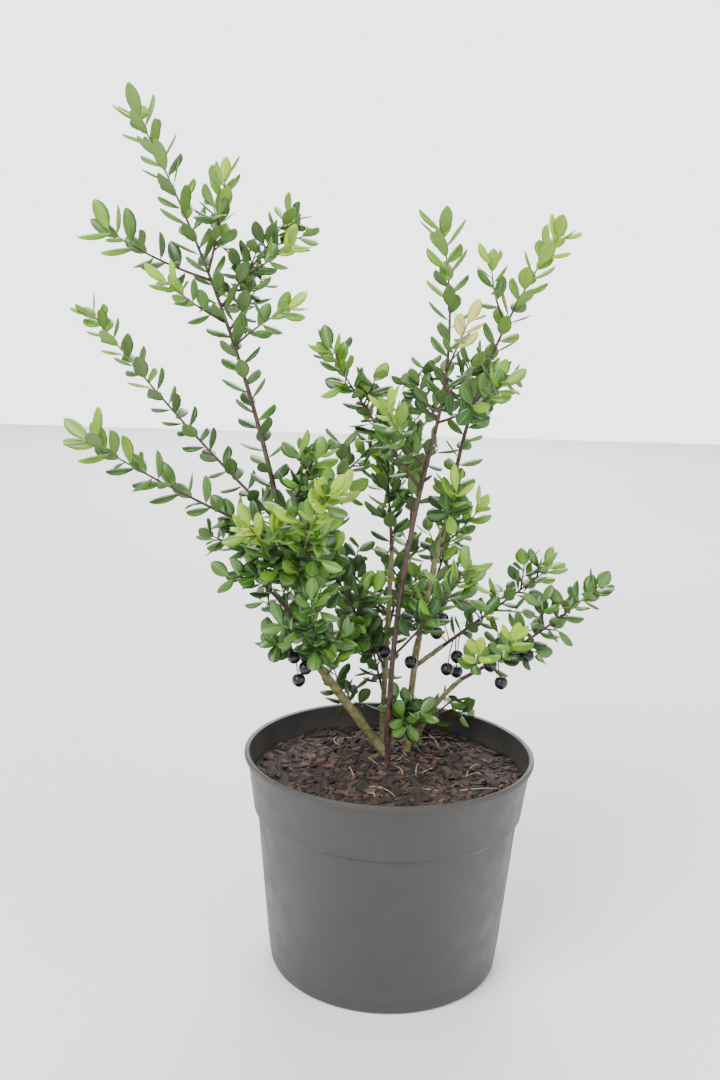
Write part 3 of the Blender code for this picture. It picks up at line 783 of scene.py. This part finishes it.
# Each kind, from the foot of its shoot to the tip: length, width, spread and spacing
LEAVES = {
    "old": ((12.5, 12.5), (8.8, 8.2), (64, 44), 3.3),
    "mid": ((14.0, 14.5), (9.0, 8.0), (62, 40), 3.3),
    "long": ((15.0, 19.0), (8.8, 8.0), (62, 40), 3.5),
    "round": ((15.5, 17.0), (10.0, 8.8), (66, 38), 3.7),
    "fresh": ((12.5, 15.5), (7.2, 6.6), (60, 30), 3.4),
}
# The greens of a kind of leaf, from the foot of the shoot to its tip
GREENS = {
    "old": ("dark", "dark", "green", "green"),
    "mid": ("dark", "dark", "green", "light"),
    "long": ("dark", "green", "green", "light"),
    "round": ("green", "green", "light", "lime"),
    "fresh": ("green", "green", "light", "lime"),
}
YELLOW_SHOOTS = ("top_middle_yellow",)
# Each green's deep and pale tone of the upper side
TONES = {
    "dark": ((0.018, 0.064, 0.01), (0.038, 0.108, 0.017)),
    "green": ((0.04, 0.125, 0.012), (0.08, 0.19, 0.022)),
    "light": ((0.11, 0.265, 0.012), (0.17, 0.35, 0.02)),
    "lime": ((0.26, 0.44, 0.012), (0.36, 0.54, 0.025)),
    "yellow": ((0.55, 0.57, 0.12), (0.66, 0.67, 0.2)),
}
# The dull green that the rib and the under side are partly made of
UNDER_TONE = (0.2, 0.3, 0.1)
UNDER_SHARE = 0.45
LEAF_STATIONS = (0, 0.08, 0.17, 0.34, 0.56, 0.77, 0.91, 0.975, 1.0)
UPPER_SIDE = (-1, -0.6, -0.07, 0.07, 0.6, 1)
UNDER_SIDE = (0.6, 0.07, -0.07, -0.6)
RIB_POINTS = (2, 3)
RING = len(UPPER_SIDE) + len(UNDER_SIDE)
# The slot of each strip round the leaf: 0 the upper side, 1 the rib, 2 the under side
STRIP_SLOTS = (0, 0, 1, 0, 0, 2, 2, 2, 2, 2)
LEAF_STALK = 0.08
STALK_HALF = 0.42
LEAST_HALF = 0.6
WIDEST_PAST_MIDDLE = 1.12
BLUNTNESS = 0.55
LEAF_THICK = 0.3
LEAF_CUP = 0.4
LEAF_ARCH = 0.12
RIB_SUNK = 0.14
LIFT_TO_LIGHT = Vector((0, 0, 0.22))
FACE_TO_LIGHT = Vector((0, -0.4, 0.75))
CROWDING = 1.25
FEWEST_LEAVES = 3
FIRST_LEAF = 0.6
LAST_LEAF = 0.99
LOWEST_LEAF = COMPOST_LEVEL + 3
MIDDLE_OF_LEAF = 0.55
ROOM = 2.4
SPREAD_VARIES = 5
TURN_VARIES = 0.12
FACE_VARIES = 0.12
LENGTH_VARIES = (0.88, 1.08)
WIDTH_VARIES = (0.9, 1.08)
CUP_VARIES = (0.6, 1.4)
AGE_VARIES = 0.45
AGE_AHEAD = 0.2


def mixed(pair, share):
    """What lies at a share of the way from the first of a pair to the second."""
    return pair[0] + (pair[1] - pair[0]) * share


def half_width(share, width):
    """Half the leaf's width at a share of its length, with a stalk below and a blunt tip."""
    if share <= LEAF_STALK:
        return STALK_HALF
    blade = min((share - LEAF_STALK) / (1 - LEAF_STALK), 1)
    fullness = math.sin(math.pi * blade**WIDEST_PAST_MIDDLE) ** BLUNTNESS
    return max(LEAST_HALF, width / 2 * fullness)


def leaf_blade(root, along, face, length, width, cup):
    """One closed leaf: rings of points round it from its stalk to its tip."""
    across = along.cross(face)
    points = []
    for share in LEAF_STATIONS:
        half = half_width(share, width)
        arch = -LEAF_ARCH * length * share * share
        for number, x in enumerate(UPPER_SIDE + UNDER_SIDE):
            height = arch - cup * half * x * x
            if number in RIB_POINTS:
                height -= RIB_SUNK
            if number >= len(UPPER_SIDE):
                height -= LEAF_THICK
            points.append(root + along * (length * share) + across * (half * x) + face * height)
    return points


def leaf_faces(shift):
    """The faces of one leaf and their slots, with both ends closed."""
    faces, slots = [], []
    for k in range(len(LEAF_STATIONS) - 1):
        for j in range(RING):
            low, beside = shift + k * RING + j, shift + k * RING + (j + 1) % RING
            faces.append((low, low + RING, beside + RING, beside))
            slots.append(STRIP_SLOTS[j])
    last = shift + (len(LEAF_STATIONS) - 1) * RING
    faces.append(tuple(range(shift, shift + RING)))
    faces.append(tuple(reversed(range(last, last + RING))))
    return faces, slots + [2, 2]


sprays = {tone: ([], [], []) for tone in TONES}
middles = []
dice = random.Random("leaves")
for name, path, kind, bare, phase in leafy:
    lengths, widths, spreads, spacing = LEAVES[kind]
    count = max(FEWEST_LEAVES, round(path.length() * (1 - bare) / spacing))
    for k in range(count):
        share = (k + FIRST_LEAF) / count
        t = min(LAST_LEAF, bare + (1 - bare) * (1 - (1 - share) ** CROWDING))
        heading = path.heading(t)
        spread = math.radians(mixed(spreads, t) + dice.gauss(0, SPREAD_VARIES))
        side = around(heading, phase + k * TURN + dice.gauss(0, TURN_VARIES))
        along = heading * math.cos(spread) + side * math.sin(spread) + LIFT_TO_LIGHT
        along.normalize()
        sway = Vector([dice.gauss(0, FACE_VARIES) for _ in range(3)])
        face = heading + FACE_TO_LIGHT + sway
        face = (face - along * face.dot(along)).normalized()
        length = mixed(lengths, t) * dice.uniform(*LENGTH_VARIES)
        width = mixed(widths, t) * dice.uniform(*WIDTH_VARIES)
        middle = path.point(t) + along * length * MIDDLE_OF_LEAF
        greens = GREENS[kind]
        young = int(share * len(greens) + dice.gauss(0, AGE_VARIES) + AGE_AHEAD)
        young = min(len(greens) - 1, max(0, young))
        tone = "yellow" if name in YELLOW_SHOOTS and young > 0 else greens[young]
        if any((middle - other).length_squared < ROOM * ROOM for other in middles):
            continue
        if middle.z < LOWEST_LEAF:
            continue
        middles.append(middle)
        points, faces, slots = sprays[tone]
        cup = LEAF_CUP * dice.uniform(*CUP_VARIES)
        more, their_slots = leaf_faces(len(points))
        points += leaf_blade(path.point(t), along, face, length, width, cup)
        faces += more
        slots += their_slots
for tone, (deep, pale) in TONES.items():
    dull = [
        tuple(mixed(pair, UNDER_SHARE) for pair in zip(side, UNDER_TONE)) for side in (deep, pale)
    ]
    upper = finish(
        f"leaf_{tone}", deep, pale, patches=70, grain=700, relief=0.12, rough=(0.3, 0.44), coat=0.12
    )
    rib = finish(
        f"leaf_rib_{tone}", *dull, patches=90, grain=700, relief=0.05, rough=(0.42, 0.5)
    )
    under = finish(
        f"leaf_under_{tone}", *dull, patches=70, grain=700, relief=0.1, rough=(0.55, 0.68)
    )
    points, faces, slots = sprays[tone]
    spray = joined(f"leaves_{tone}", points, faces, [upper, rib, under], slots)


# Berries: round black drupes on thin reddish stalks, which hang among the older leaves,
# each pitted at its stalk, with the small point of its old flower at the far end.
BERRY_RADIUS = 4.0
BERRY_SIDES = 24
BERRY_RINGS = 14
# Depth and reach of the pit at the stalk, and height and reach of the point at the far end
STALK_PIT = (0.45, 0.35)
FAR_POINT = (0.3, 0.2)
BERRY_STALK_RADII = (0.42, 0.36)
BERRY_STALK_BOW = 0.6
BERRY_STALK_SUNK = 0.6
BERRY_STALK_SIDES = 7
BERRY_STALK_STEP = 1.5
# Each berry: the shoot that carries it, how far along, and its middle
BERRIES = [
    ("berry_left", 0.16, (-57, -4, 184)),
    ("berry_left", 0.1, (-48, -2, 185)),
    ("berry_left", 0.22, (-50, -9, 179)),
    ("berry_left", 0.3, (-54, -3, 170)),
    ("centre_low", 0.12, (-4, 24, 181)),
    ("right_inner", 0.1, (12, 20, 176)),
    ("right", 0.05, (31, 33, 200)),
    ("right", 0.03, (27, 22, 194)),
    ("right", 0.1, (34, 21, 172)),
    ("right", 0.12, (41, 33, 167)),
    ("right", 0.16, (40, 24, 179)),
    ("far_right", 0.18, (58, 5, 180)),
    ("far_right", 0.26, (65, 6, 169)),
    ("far_right", 0.36, (79, 3, 187)),
]


def swell(distance, reach):
    """How strongly a feature of this reach still shows at a distance from its middle."""
    return math.exp(-((distance / reach) ** 2))


balls = []
tubes = []
bpy.ops.object.select_all(action="DESELECT")
for shoot, at, place in BERRIES:
    start = paths[shoot].point(at)
    middle = Vector(place)
    away = (middle - start).normalized()
    bpy.ops.mesh.primitive_uv_sphere_add(
        segments=BERRY_SIDES, ring_count=BERRY_RINGS, radius=BERRY_RADIUS * MM
    )
    ball = bpy.context.object
    for vert in ball.data.vertices:
        height = vert.co.z / MM
        pit = swell(BERRY_RADIUS - height, STALK_PIT[1]) * STALK_PIT[0]
        point = swell(BERRY_RADIUS + height, FAR_POINT[1]) * FAR_POINT[0]
        vert.co.z = (height - pit - point) * MM
    ball.matrix_world = Matrix.LocRotScale(middle * MM, (-away).to_track_quat("Z", "Y"), None)
    balls.append(ball)
    end = middle - away * (BERRY_RADIUS - BERRY_STALK_SUNK)
    stalk = Path(start, end, away.orthogonal() * BERRY_STALK_BOW, BERRY_STALK_RADII)
    tubes.append(tube(stalk, BERRY_STALK_SIDES, BERRY_STALK_STEP, even_skin))
for ball in balls:
    ball.select_set(True)
bpy.context.view_layer.objects.active = balls[0]
bpy.ops.object.join()
berries = bpy.context.object
berries.name = "berries"
bpy.ops.object.transform_apply()
bpy.ops.object.shade_smooth()
berry_skin = finish(
    "berry_skin",
    deep=(0.004, 0.004, 0.006),
    pale=(0.014, 0.012, 0.016),
    patches=120,
    grain=700,
    relief=0.01,
    rough=(0.26, 0.36),
    coat=0.2,
)
berries.data.materials.append(berry_skin)
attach(berries, "root")
berry_stalk = finish(
    "berry_stalk",
    deep=(0.12, 0.045, 0.02),
    pale=(0.22, 0.11, 0.05),
    patches=300,
    grain=900,
    relief=0.05,
    rough=(0.5, 0.6),
)
stalks = joined("berry_stalks", *gathered(tubes), [berry_stalk])


# Studio: a plain pale floor, a big soft lamp over the left shoulder, paler ones from the
# right and the rear, one over the far floor, and an even room that looks nearly white.
FLOOR_SIZE = 8
FLOOR_SUNK = 0.0005
ROOM_TINT = (0.97, 0.98, 1, 1)
ROOM_LIGHT = 0.86
WALL_LIGHT = 3.4
PLANT_MIDDLE = Vector((0, 0, 0.25))
# Each lamp: its place and what it points at in metres, its side and its power
LAMPS = {
    "key": ((-0.9, -1.1, 1.5), PLANT_MIDDLE, 1.1, 52),
    "fill": ((1.2, -0.8, 0.9), PLANT_MIDDLE, 1.2, 14),
    "rear": ((0.3, 1.3, 1.4), PLANT_MIDDLE, 1.2, 16),
    "far": ((0, 3.0, 2.2), Vector((0, 3.0, 0)), 2.5, 150),
}
bpy.ops.object.select_all(action="DESELECT")
bpy.ops.mesh.primitive_plane_add(size=FLOOR_SIZE, location=(0, 0, -FLOOR_SUNK))
floor = bpy.context.object
floor.name = "floor"
bpy.ops.object.transform_apply()
floor_paper = finish(
    "floor_paper",
    deep=(0.85, 0.85, 0.85),
    pale=(0.88, 0.88, 0.88),
    patches=2,
    grain=400,
    relief=0.02,
    rough=(0.8, 0.9),
)
floor.data.materials.append(floor_paper)
for name, (place, target, size, power) in LAMPS.items():
    lamp = bpy.data.lights.new(name, "AREA")
    lamp.size = size
    lamp.energy = power
    lit = bpy.data.objects.new(name, lamp)
    bpy.context.scene.collection.objects.link(lit)
    towards = target - Vector(place)
    lit.matrix_world = Matrix.LocRotScale(Vector(place), towards.to_track_quat("-Z", "Y"), None)
world = bpy.data.worlds.new("room")
world.use_nodes = True
sky = world.node_tree.nodes["Background"]
sky.inputs["Color"].default_value = ROOM_TINT
rays = world.node_tree.nodes.new("ShaderNodeLightPath")
wall = world.node_tree.nodes.new("ShaderNodeMapRange")
wall.inputs["To Min"].default_value = ROOM_LIGHT
wall.inputs["To Max"].default_value = WALL_LIGHT
world.node_tree.links.new(rays.outputs["Is Camera Ray"], wall.inputs["Value"])
world.node_tree.links.new(wall.outputs["Result"], sky.inputs["Strength"])
bpy.context.scene.world = world
